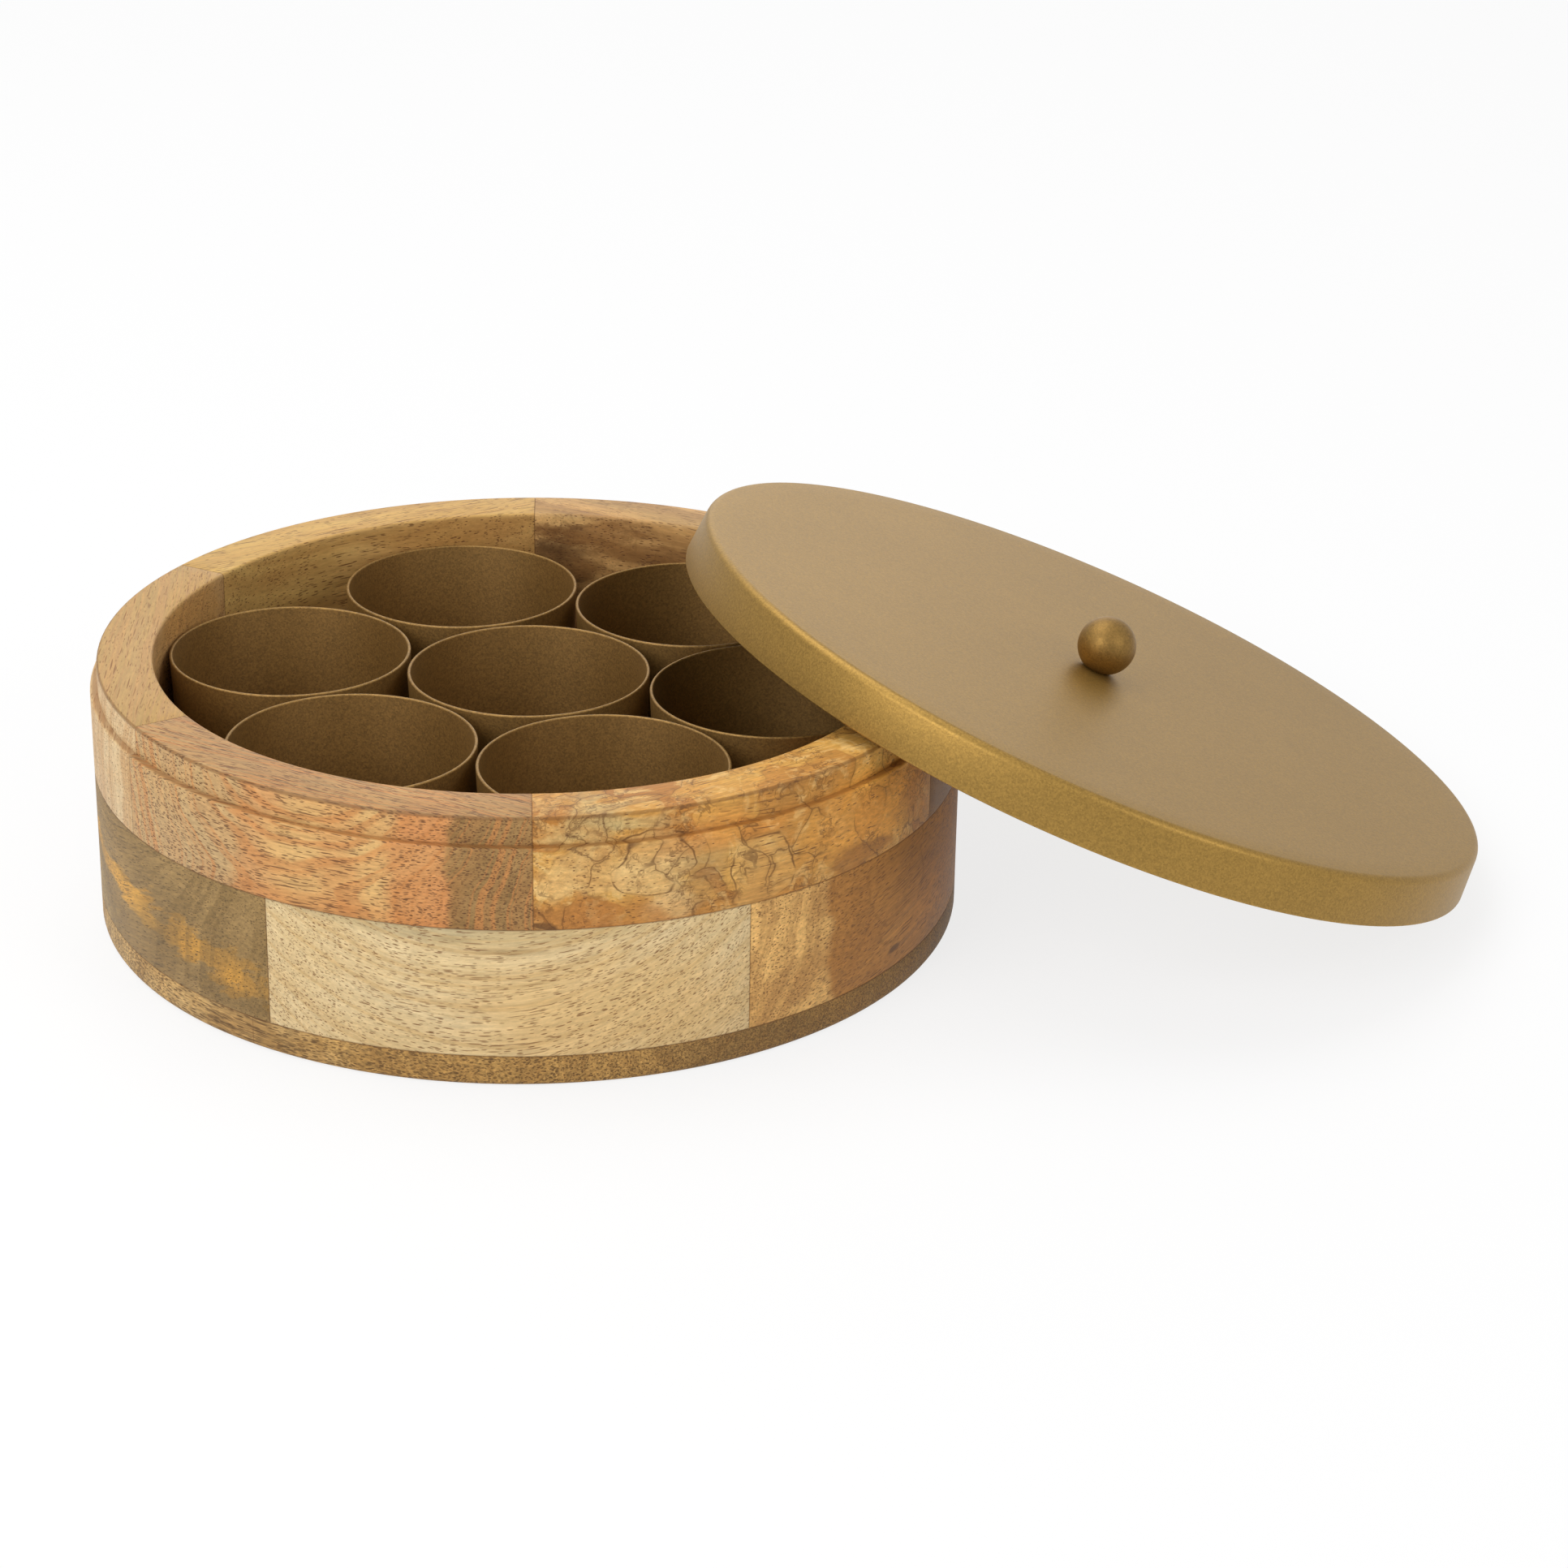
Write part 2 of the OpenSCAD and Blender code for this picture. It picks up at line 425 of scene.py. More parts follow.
def build_mango_grain():
    group, given, result = new_group(
        "mango_grain",
        [("Vector", VECTOR, None), ("Seed", VECTOR, (0, 0, 0)), ("Colour", COLOUR, (0.6, 0.4, 0.2, 1)),
         ("Cloud Colour", COLOUR, (0.5, 0.3, 0.15, 1)), ("Clouds", NUMBER, 0.5),
         ("Band Colour", COLOUR, (0.4, 0.25, 0.12, 1)), ("Bands", NUMBER, 0.4),
         ("Band Width", NUMBER, 9.0), ("Stripes", NUMBER, 0.3), ("Stripe Width", NUMBER, 1.6),
         ("Pith", VECTOR, (0, -35, -28)), ("Wander", NUMBER, 10.0),
         ("Pore Colour", COLOUR, (0.12, 0.06, 0.02, 1)), ("Pores", NUMBER, 0.5),
         ("Pore Size", NUMBER, 0.36), ("Fibre", NUMBER, 0.5)],
        [("Colour", COLOUR), ("Roughness", NUMBER), ("Height", NUMBER)])
    bent, drift = bent_grain(group, given)

    # clouds: slow change of tone along the board
    cloud = noise(group, stretched(group, bent, (0.022, 0.075, 0.075)), 1.0, 4.0, 0.6)
    cloud = times(group, smooth_range(group, cloud, 0.36, 0.66), given.outputs["Clouds"])
    colour = mixed(group, cloud, given.outputs["Colour"], given.outputs["Cloud Colour"])
    colour = growth_rings(group, given, bent, drift, colour)

    # fibres: thin light and dark lines along the grain, and a finer speckle
    fine = noise(group, stretched(group, bent, (0.05, 1.3, 1.3)), 1.0, 3.0, 0.65)
    speckle = noise(group, stretched(group, bent, (0.4, 1.7, 1.7)), 1.0, 3.0, 0.7)
    shade = plus(group, minus(group, fine, 0.5), times(group, minus(group, speckle, 0.5), 0.8))
    lift = plus(group, 1.0, times(group, shade, given.outputs["Fibre"]))
    colour = brightened(group, colour, lift)

    pore = pore_pattern(group, given, bent)
    colour = mixed(group, times(group, pore, 0.9), colour, given.outputs["Pore Colour"])
    put(group, colour, result.inputs["Colour"])
    put(group, plus(group, times(group, fine, 0.16), 0.46), result.inputs["Roughness"])
    put(group, minus(group, times(group, fine, 0.15), pore), result.inputs["Height"])
    return group


mango_grain = build_mango_grain()
print("made", mango_grain.name, "with", len(mango_grain.nodes), "nodes")

# %% [markdown]
# Spalted wood has been touched by fungus: thin dark zone lines fence off patches
# of different tone. The borders of Voronoi cells do the same when the point is
# wobbled first: each cell is a patch with a tone of its own, and its border is
# the line. Contour lines of a noise were the other way, but they look like a map.
#
# A second group paints one patch of another tone where it is wanted, which is
# how a block turns golden, grey or pink in one place. Its rim can be a line too.
# A third one bends the straight grain of a whole block into a slope or a bow.

# %% Spalt lines and tone patches
def wobble(group, point, pace, reach, detail=2.0):
    """The point pushed about by a slow noise, so straight things drawn with it come out bent."""
    push = push_from(group, scaled(group, point, pace), detail)
    return vector_maths(group, "ADD", point, scaled(group, push, reach))


def build_spalt():
    group, given, result = new_group(
        "spalt",
        [("Vector", VECTOR, None), ("Scale", NUMBER, 0.075), ("Swirl", NUMBER, 30.0)],
        [("Lines", NUMBER), ("Patches", NUMBER), ("Pale", NUMBER), ("Flecks", NUMBER)])
    point = given.outputs["Vector"]
    bent = wobble(group, wobble(group, point, 0.05, given.outputs["Swirl"]), 0.4, 2.2, 3.0)
    cell = scaled(group, bent, given.outputs["Scale"])

    border = voronoi(group, cell, "DISTANCE_TO_EDGE").outputs["Distance"]
    thin = smooth_range(group, border, 0.008, 0.03, 1.0, 0.0)
    halo = smooth_range(group, border, 0.0, 0.14, 0.3, 0.0)
    faded = smooth_range(group, noise(group, scaled(group, point, 0.06)), 0.42, 0.58)
    put(group, times(group, larger(group, thin, halo), faded), result.inputs["Lines"])

    patch = voronoi(group, cell, "SMOOTH_F1")
    patch.inputs["Smoothness"].default_value = 0.12
    put(group, split_colour(group, patch.outputs["Color"])[1], result.inputs["Patches"])
    mottle = noise(group, bent, 0.16, 4.0, 0.6)
    put(group, smooth_range(group, mottle, 0.5, 0.62), result.inputs["Pale"])

    scratch = noise(group, wobble(group, point, 0.3, 5.0), 0.38)
    off_line = maths(group, "ABSOLUTE", minus(group, scratch, 0.5))
    hair = smooth_range(group, off_line, 0.01, 0.06, 1.0, 0.0)
    where = smooth_range(group, noise(group, scaled(group, point, 0.1)), 0.48, 0.6)
    put(group, times(group, hair, where), result.inputs["Flecks"])
    return group


def build_tone_patch():
    group, given, result = new_group(
        "tone_patch",
        [("Vector", VECTOR, None), ("Torn", NUMBER, 0.5), ("Centre", VECTOR, (0, 0, 0)),
         ("Reach", VECTOR, (20, 20, 20)), ("Lean", NUMBER, 0.0), ("Ragged", NUMBER, 0.5),
         ("Soft", NUMBER, 0.25)],
        [("Mask", NUMBER), ("Rim", NUMBER)])
    away = vector_maths(group, "SUBTRACT", given.outputs["Vector"], given.outputs["Centre"])
    climb = joined(group, z=times(group, split(group, away)[0], given.outputs["Lean"]))
    level = vector_maths(group, "SUBTRACT", away, climb)
    away = vector_maths(group, "DIVIDE", level, given.outputs["Reach"])
    tear = times(group, given.outputs["Ragged"], 3.0)
    torn = times(group, minus(group, given.outputs["Torn"], 0.5), tear)
    far = plus(group, vector_maths(group, "LENGTH", away), torn)
    inner = minus(group, 1.0, given.outputs["Soft"])
    outer = plus(group, 1.0, given.outputs["Soft"])
    put(group, smooth_range(group, far, inner, outer, 1.0, 0.0), result.inputs["Mask"])

    off_rim = maths(group, "ABSOLUTE", minus(group, far, 1.0))
    rim = smooth_range(group, off_rim, 0.0, 0.06, 1.0, 0.0)
    slow = noise(group, scaled(group, given.outputs["Vector"], 0.15))
    faint = smooth_range(group, slow, 0.35, 0.55, 0.15, 1.0)
    put(group, times(group, rim, faint), result.inputs["Rim"])
    return group


def build_grain_flow():
    """Bends the straight grain of a block: a slope, and a bow about one place along it."""
    group, given, result = new_group(
        "grain_flow",
        [("Vector", VECTOR, None), ("Slope", NUMBER, 0.0), ("Bow", NUMBER, 0.0),
         ("Middle", NUMBER, 0.0)],
        [("Vector", VECTOR)])
    part = split(group, given.outputs["Vector"])
    along = minus(group, part[0], given.outputs["Middle"])
    lean = times(group, along, given.outputs["Slope"])
    arch = times(group, times(group, along, along), given.outputs["Bow"])
    height = minus(group, part[2], plus(group, lean, arch))
    put(group, joined(group, part[0], part[1], height), result.inputs["Vector"])
    return group


spalt = build_spalt()
tone_patch = build_tone_patch()
grain_flow = build_grain_flow()
print("made", spalt.name, tone_patch.name, "and", grain_flow.name)

# %% [markdown]
# The lathe and the glue leave their own marks: fine dark glue lines between the
# layers and between the blocks of a ring, a burnished brown ledge at the foot of
# the collar, and a thin line along the outer edge of the rim. The inside wall of
# the bore is painted darker, as painted shade. The top face of the rim gets a mask
# too, for a darker top tone that is partly painted shade. All of these are where
# they are on the object, so the group measures how far a point is from each: by
# height, and by distance from the axis.

# %% Marks of the maker, and painted shade
def build_marks_and_painted_shade():
    group, given, result = new_group(
        "maker_marks",
        [("Vector", VECTOR, None), ("Half Turn", NUMBER, 3.2)],
        [("Lines", NUMBER), ("Ledge", NUMBER), ("Inside", NUMBER), ("Top", NUMBER)])
    part = split(group, given.outputs["Vector"])
    up = part[2]
    out = vector_maths(group, "LENGTH", stretched(group, given.outputs["Vector"], (1, 1, 0)))

    def close(value, target, reach, depth):
        """Full depth where the value meets the target, and nothing beyond the reach."""
        off = maths(group, "ABSOLUTE", minus(group, value, target / MM))
        return smooth_range(group, off, reach * 0.3, reach, depth, 0.0)

    # glue: the level ones, and the upright ones at the two ends of the block
    glue = larger(group, close(up, SPLIT_Z, 0.35, 0.45), close(up, BASE_TOP, 0.35, 0.45))
    half_turn = given.outputs["Half Turn"]
    beside = times(group, maths(group, "ABSOLUTE", part[0]), maths(group, "COSINE", half_turn))
    behind = times(group, part[1], maths(group, "SINE", half_turn))
    off_joint = maths(group, "ABSOLUTE", plus(group, beside, behind))
    glue = larger(group, glue, smooth_range(group, off_joint, 0.08, 0.32, 0.4, 0.0))
    edge = times(group, close(out, COLLAR_R - 0.2 * MM, 0.5, 0.5),
                 close(up, RIM_Z - 0.3 * MM, 0.8, 1.0))
    put(group, larger(group, glue, edge), result.inputs["Lines"])

    ledge = times(group, close(out, COLLAR_R + 0.6 * MM, 1.4, 1.0), close(up, LEDGE_Z, 0.35, 1.0))
    put(group, ledge, result.inputs["Ledge"])
    # painted shade: the inside wall of the bore below the rim is marked to be darkened
    bore = BORE_R / MM
    rim = RIM_Z / MM
    by_bore = smooth_range(group, out, bore + 0.2, bore + 1.0, 1.0, 0.0)
    under_rim = smooth_range(group, up, rim - 2.0, rim - 0.5, 1.0, 0.0)
    put(group, times(group, by_bore, under_rim), result.inputs["Inside"])
    # the top face of the rim: a mask for a top tone that is partly its own and partly painted shade
    put(group, smooth_range(group, up, rim - 0.9, rim - 0.1), result.inputs["Top"])
    return group


maker_marks = build_marks_and_painted_shade()
print("made", maker_marks.name)

# %% [markdown]
# The metal is coated with a fine gold powder. Close up it is a grain of tiny
# lighter and darker specks on a slightly uneven skin. One group gives the specks
# and the skin for cups, lid and knob.

# %% Gold powder coat
def build_gold_powder():
    group, given, result = new_group(
        "gold_powder",
        [("Vector", VECTOR, None), ("Colour", COLOUR, (0.4, 0.25, 0.08, 1)), ("Speck", NUMBER, 0.2),
         ("Cloud", NUMBER, 0.08), ("Roughness", NUMBER, 0.38)],
        [("Colour", COLOUR), ("Roughness", NUMBER), ("Height", NUMBER)])
    point = given.outputs["Vector"]
    grain = noise(group, scaled(group, point, 1.7), 1.0, 2.0, 0.7)
    flakes = voronoi(group, scaled(group, point, 2.4))
    glint = split_colour(group, flakes.outputs["Color"])[0]
    cloud = noise(group, scaled(group, point, 0.03), 1.0, 3.0, 0.55)
    specks = plus(group, minus(group, grain, 0.5), times(group, minus(group, glint, 0.5), 0.6))
    shade = times(group, specks, given.outputs["Speck"])
    shade = plus(group, shade, times(group, minus(group, cloud, 0.5), given.outputs["Cloud"]))
    lift = plus(group, 1.0, times(group, shade, 2.0))
    put(group, brightened(group, given.outputs["Colour"], lift), result.inputs["Colour"])
    uneven = times(group, minus(group, grain, 0.5), 0.14)
    put(group, plus(group, given.outputs["Roughness"], uneven), result.inputs["Roughness"])
    put(group, grain, result.inputs["Height"])
    return group


gold_powder = build_gold_powder()
print("made", gold_powder.name)

# %% [markdown]
# ## One wood finish for each block
#
# Every block comes from another board, so every block gets a material of its
# own: a base colour, patches of other tones, and its own grain. The pattern is
# turned so that the grain runs straight through the block from joint to joint.
# That is why pores are dashes in the middle of a block and dots near its ends.

# %% Material helpers
def use_group(tree, group, **values):
    """Place a group in a tree and feed its sockets, named in small letters."""
    node = tree.nodes.new("ShaderNodeGroup")
    node.node_tree = group
    for label, value in values.items():
        put(tree, value, node.inputs[label.replace("_", " ").title()])
    return node


def blank_material(name):
    """A new material, with its node tree and its Principled BSDF."""
    material = bpy.data.materials.new(name)
    material.use_nodes = True
    tree = material.node_tree
    return material, tree, tree.nodes["Principled BSDF"]


def block_space(tree, facing):
    """Object coordinates in millimetres, turned so that X runs along the chord of a block
    that faces this way, -Y outwards and Z up."""
    where = tree.nodes.new("ShaderNodeTexCoord")
    turn = tree.nodes.new("ShaderNodeMapping")
    turn.inputs["Rotation"].default_value = (0, 0, -(facing + math.pi / 2))
    turn.inputs["Scale"].default_value = (1000, 1000, 1000)
    tree.links.new(where.outputs["Object"], turn.inputs["Vector"])
    return turn.outputs["Vector"]


def add_bump(tree, shader, height, strength, distance):
    """Feed a height through a Bump node into Normal, with the distance in metres."""
    bump = tree.nodes.new("ShaderNodeBump")
    bump.inputs["Strength"].default_value = strength
    bump.inputs["Distance"].default_value = distance
    tree.links.new(height, bump.inputs["Height"])
    tree.links.new(bump.outputs["Normal"], shader.inputs["Normal"])


print("material helpers ready")

# %% [markdown]
# The order matters. The tones are painted first and the grain goes over them,
# as a stain does in real wood. The zone lines and the marks of the lathe and the
# glue come last, because they lie on top of everything.

# %% The wood of one block
ZONE_LINE = srgb(92, 54, 20)
LEDGE_BROWN = srgb(130, 84, 42)
GLUE_BROWN = srgb(104, 68, 36)
INSIDE_SHADE = (0.74, 0.6, 0.38, 1.0)


def tone(tint, x, z, wide, high, amount=0.6, ragged=0.3, soft=0.3, rim=0.0, lean=0.0, y=-110, deep=60):
    """One patch of another tone on a block: where it is and how far it reaches in mm, and its slope."""
    shape = dict(centre=(x, y, z), reach=(wide, deep, high), ragged=ragged, soft=soft, lean=lean)
    return dict(tint=tint, amount=amount, rim=rim, shape=shape)


def painted_tones(tree, colour, tones, point, torn):
    """The colour with all patches of other tones on it, and the lines along their rims."""
    lines = 0.0
    for spot in tones:
        patch = use_group(tree, tone_patch, vector=point, torn=torn, **spot["shape"])
        mask = times(tree, patch.outputs["Mask"], spot["amount"])
        colour = mixed(tree, mask, colour, srgb(*spot["tint"]))
        if spot["rim"]:
            lines = larger(tree, lines, times(tree, patch.outputs["Rim"], spot["rim"]))
    return colour, lines


def wood(name, place, seed, base, cloud, band, tones=(), clouds=0.5, bands=0.3, width=9.0,
         stripes=0.25, stripe_width=1.8, pith=(0, -60, 10), wander=9.0, slope=0.0, bow=0.0,
         middle_x=0.0, pores=0.5, pore_size=0.36, pore=(104, 66, 34), fibre=0.6,
         torn_scale=(0.03, 0.2, 0.2), torn_detail=4.0, pull=7.0, spalted=0.0,
         spalt_tone=(176, 124, 66), pale_tone=(236, 198, 132), top=None):
    """The finish of one block: screen colours, places and widths in mm, and amounts from 0 to 1."""
    facing, half_turn = place
    material, tree, shader = blank_material(name)
    local = block_space(tree, facing)
    flow = use_group(tree, grain_flow, vector=local, slope=slope, bow=bow, middle=middle_x).outputs[0]
    seeded = vector_maths(tree, "ADD", flow, seed)
    torn = noise(tree, stretched(tree, seeded, torn_scale), 1.0, torn_detail, 0.6)
    swirl = push_from(tree, stretched(tree, seeded, (0.04, 0.09, 0.09)))
    pulled = vector_maths(tree, "ADD", local, scaled(tree, swirl, pull))
    marks_and_shade = use_group(tree, maker_marks, vector=local, half_turn=half_turn)
    colour = srgb(*base)
    if spalted:
        figure = use_group(tree, spalt, vector=seeded)
        patches = times(tree, figure.outputs["Patches"], 0.85 * spalted)
        colour = mixed(tree, patches, colour, srgb(*spalt_tone))
        pale = times(tree, figure.outputs["Pale"], 0.6 * spalted)
        colour = mixed(tree, pale, colour, srgb(*pale_tone))
    colour, lines = painted_tones(tree, colour, tones, pulled, torn)
    if spalted:
        lines = larger(tree, lines, times(tree, figure.outputs["Lines"], 0.65 * spalted))
        lines = larger(tree, lines, times(tree, figure.outputs["Flecks"], 0.5 * spalted))
    # the top face of the rim takes a darker tone, partly its own and partly painted shade
    if top:
        colour = mixed(tree, times(tree, marks_and_shade.outputs["Top"], 0.8), colour, srgb(*top))
    grain = use_group(tree, mango_grain, vector=flow, seed=seed, colour=colour,
                      cloud_colour=srgb(*cloud), clouds=clouds, band_colour=srgb(*band), bands=bands,
                      band_width=width, stripes=stripes, stripe_width=stripe_width, pith=pith,
                      wander=wander, pores=pores, pore_size=pore_size, pore_colour=srgb(*pore),
                      fibre=fibre)
    surface = mixed(tree, lines, grain.outputs["Colour"], ZONE_LINE)
    # painted shade: the inside wall of the bore is multiplied darker
    shade = times(tree, marks_and_shade.outputs["Inside"], 0.3)
    surface = mixed(tree, shade, surface, INSIDE_SHADE, "MULTIPLY")
    surface = mixed(tree, times(tree, marks_and_shade.outputs["Ledge"], 0.5), surface, LEDGE_BROWN)
    surface = mixed(tree, marks_and_shade.outputs["Lines"], surface, GLUE_BROWN)
    tree.links.new(surface, shader.inputs["Base Color"])
    tree.links.new(grain.outputs["Roughness"], shader.inputs["Roughness"])
    shader.inputs["Specular IOR Level"].default_value = 0.3
    add_bump(tree, shader, grain.outputs["Height"], 0.35, 0.0002)
    return material


wood_for = {}


def wood_of_block(ring, index, name, *looks, **more):
    """Make the finish of one block of a ring, and keep it under the name of its node."""
    joints = {"upper": UPPER_JOINTS, "lower": LOWER_JOINTS}[ring]
    first, last = joints[index - 1], joints[index]
    place = ((first + last) / 2, (last - first) / 2)
    wood_for[f"{ring}_ring_segment_{index}"] = wood(f"{ring}_{name}", place, *looks, **more)


print("wood finish ready, with", len(mango_grain.interface.items_tree), "sockets on its grain")

# %% [markdown]
# The upper blocks. Each patch of tone is placed in millimetres along the block
# and up from the table, so that a stain can be put where the real block has it.
# The golden block in front is spalted, so it has many small patches and zone
# lines. The one beside it is rose in the middle and olive at its right end. Its
# rings cross the face upright, so they show as fine upright stripes.

# %% Upper blocks
# The top colour of a block is a darker tone for the top face of its rim, partly painted shade.
wood_of_block(
    "upper", 1, "golden_spalted", (310, 40, 75), (222, 172, 86), (188, 126, 54), (160, 106, 46), tones=[
        tone((238, 202, 134), -46, 58, 12, 6, 0.7, 0.3, 0.3, 0.25),
        tone((200, 178, 122), -49, 67, 9, 4, 0.65, 0.5, 0.4),
        tone((196, 176, 122), -36, 68.5, 10, 2.5, 0.65, 0.6, 0.4),
        tone((230, 194, 130), -33, 57.5, 8.5, 8.5, 0.7, 0.12, 0.15, 0.8),
        tone((242, 210, 150), -28, 46, 6, 4, 0.7, 0.3, 0.4),
        tone((176, 116, 56), -50, 45, 15, 5, 0.7, 0.3, 0.4),
        tone((178, 116, 56), -34, 43, 14, 3, 0.7, 0.3, 0.4),
        tone((164, 136, 92), -22, 56, 7, 8, 0.5, 0.3, 0.5),
        tone((236, 192, 114), -4, 51, 9.5, 9, 0.6, 0.12, 0.15, 0.8),
        tone((226, 146, 62), -14, 63, 15, 5, 0.5, 0.3, 0.5),
        tone((240, 168, 72), 34, 57, 22, 10, 0.7, 0.4, 0.4),
        tone((112, 70, 30), 28, 46.5, 12, 3, 0.75, 0.7, 0.4),
        tone((150, 98, 50), 56, 58, 10, 20, 0.5, 0.3, 0.5),
        tone((48, 32, 24), -58, 43.4, 3.5, 1.4, 0.9, 0.3, 0.3)],
    clouds=0.5, bands=0.1, stripes=0.1, pores=0.25, torn_scale=(0.1, 0.12, 0.12),
    torn_detail=3.0, pull=14.0, spalted=1.0, spalt_tone=(170, 108, 44), pale_tone=(248, 210, 136),
    fibre=0.9)
wood_of_block(
    "upper", 2, "plain_tan", (95, 12, 33), (136, 98, 56), (116, 80, 44), (104, 72, 38))
wood_of_block(
    "upper", 3, "dark_figured", (210, 71, 18), (252, 208, 140), (212, 160, 98), (146, 102, 56), tones=[
        tone((84, 60, 36), 42, 56, 13, 9, 0.95, 0.5, 0.3, 0.3, y=-90),
        tone((100, 68, 38), 34, 66, 16, 3.4, 0.9, 0.8, 0.25, 0.4, y=-92),
        tone((94, 64, 36), 12, 62, 18, 3.2, 0.85, 0.9, 0.25, 0.3, y=-92),
        tone((196, 144, 86), 0, 60, 30, 14, 0.4, 0.4, 0.4, y=-92)],
    clouds=0.6, bands=0.4, width=7.0, spalted=0.35, top=(184, 148, 90))
wood_of_block(
    "upper", 4, "back_tan", (55, 140, 61), (240, 200, 128), (206, 160, 92), (176, 130, 72), tones=[
        tone((190, 156, 84), 30, 62, 26, 16, 0.5, 0.4, 0.4),
        tone((168, 112, 52), -30, 64, 26, 14, 0.6, 0.4, 0.4)],
    clouds=0.6, bands=0.35, width=8.0, pores=0.6, top=(202, 163, 90))
wood_of_block(
    "upper", 5, "left_tan", (20, 30, 15), (218, 190, 144), (200, 160, 106), (190, 144, 92), tones=[
        tone((224, 200, 156), 40, 56, 20, 9, 0.5, 0.3, 0.5),
        tone((222, 168, 92), 0, 60, 62, 40, 0.8, 0.2, 0.25, y=-90, deep=10)],
    clouds=0.5, bands=0.25, stripes=0.5, stripe_width=0.6, pith=(0, 60, 40), pores=0.8, pore_size=0.32,
    pore=(134, 90, 48), top=(168, 132, 66))
wood_of_block(
    "upper", 6, "rose_tan", (130, 22, 90), (200, 162, 108), (208, 166, 106), (196, 130, 70), tones=[
        tone((188, 158, 112), -38, 56, 22, 40, 0.7, 0.15, 0.3),
        tone((206, 146, 90), -9, 56, 8, 40, 0.6, 0.2, 0.3),
        tone((222, 178, 112), 12, 53, 20, 22, 0.85, 0.2, 0.25),
        tone((206, 144, 84), 13, 53, 5, 22, 0.5, 0.3, 0.4),
        tone((206, 136, 78), 33, 56, 8, 40, 0.85, 0.2, 0.25),
        tone((198, 124, 62), 10, 44, 30, 3, 0.5, 0.4, 0.5),
        tone((134, 102, 56), 52, 56, 13, 40, 0.95, 0.1, 0.08),
        tone((82, 62, 46), 49, 71.5, 9, 3, 0.75, 0.3, 0.5, y=-92, deep=1.8)],
    clouds=0.3, bands=0.2, width=3.4, stripes=0.6, stripe_width=0.5, pith=(0, 60, 40), pores=1.0,
    pore_size=0.38, pore=(88, 52, 28), fibre=0.8, top=(164, 128, 80))
print("upper blocks finished:", len(wood_for))

# %% [markdown]
# The lower blocks. One is olive grey with golden streaks, the next is a long
# pale block whose grain bows a little, and the next is brown with a lighter end.
# The base board shows only its edge, where many cut pores lie close together.

# %% Lower blocks and base
wood_of_block(
    "lower", 1, "brown", (75, 60, 20), (180, 126, 62), (160, 108, 52), (136, 88, 40), tones=[
        tone((244, 196, 120), -48, 26, 15, 60, 0.9, 0.1, 0.12),
        tone((198, 142, 72), -6, 33, 14, 18, 0.4, 0.2, 0.15, 0.3),
        tone((204, 138, 64), 14, 20, 18, 8, 0.4, 0.4, 0.5),
        tone((70, 46, 28), -7, 13.5, 2.8, 1.0, 0.8, 0.3, 0.4)],
    clouds=0.5, bands=0.2, width=4.5, stripes=0.22, stripe_width=0.6, pith=(0, 60, 60), slope=0.12,
    pores=0.8, pore_size=0.36, fibre=1.0)
wood_of_block(
    "lower", 2, "right_tan", (12, 99, 44), (186, 142, 92), (160, 114, 66), (150, 106, 60))
wood_of_block(
    "lower", 3, "back_rose", (64, 18, 8), (200, 154, 106), (190, 136, 86), (170, 118, 72), pores=0.6)
wood_of_block(
    "lower", 4, "back_brown", (144, 45, 27), (164, 120, 72), (140, 98, 54), (124, 84, 46), bands=0.45)
wood_of_block(
    "lower", 5, "olive", (31, 67, 52), (158, 128, 80), (140, 112, 66), (120, 94, 52), tones=[
        tone((210, 156, 66), -10, 25, 44, 3.2, 0.85, 1.0, 0.2, lean=-0.12),
        tone((204, 148, 58), 42, 20, 22, 5.5, 0.85, 1.1, 0.2, lean=-0.2),
        tone((124, 100, 60), 24, 31, 18, 4, 0.4, 0.8, 0.3),
        tone((116, 92, 52), 46, 12, 16, 3.5, 0.5, 0.8, 0.3, lean=-0.15),
        tone((188, 156, 94), -30, 14, 26, 6, 0.6, 0.7, 0.3, lean=-0.15)],
    clouds=0.6, bands=0.3, width=6.0, stripes=0.4, stripe_width=0.9, slope=0.22, pores=0.8,
    pore_size=0.32, pore=(88, 66, 36), fibre=1.1, torn_scale=(0.035, 0.3, 0.3), torn_detail=5.0)
wood_of_block(
    "lower", 6, "pale", (0, 84, 71), (220, 196, 150), (212, 180, 122), (196, 160, 104), tones=[
        tone((170, 154, 116), -24, 43, 42, 3, 0.65, 0.35, 0.5),
        tone((182, 160, 114), 10, 40, 26, 2.2, 0.55, 0.5, 0.5),
        tone((224, 180, 110), 26, 20, 34, 14, 0.5, 0.4, 0.6),
        tone((122, 102, 68), 2, 36.4, 9, 0.6, 0.6, 0.3, 0.5)],
    clouds=0.4, bands=0.2, width=7.0, stripes=0.45, stripe_width=0.8, pith=(0, -60, -60), slope=0.05,
    bow=0.004, middle_x=-4.0, pores=0.9, pore_size=0.34, pore=(120, 78, 38), fibre=0.7)
wood_for["base_disc"] = wood(
    "base_board", (math.radians(225), 0.0), (40, 25, 12), (184, 144, 82), (170, 128, 68),
    (140, 102, 52), tones=[
        tone((128, 98, 54), 112, 4, 44, 60, 0.85, 0.4, 0.3, y=-10, deep=60),
        tone((218, 184, 126), -50, 4, 66, 60, 0.7, 0.4, 0.4, y=-90, deep=60)],
    clouds=0.5, bands=0.35, width=8.0, stripes=0.4, stripe_width=0.8, pores=0.95, pore_size=0.46,
    pore=(88, 60, 30), fibre=1.7)
print("wood finishes in all:", len(wood_for))

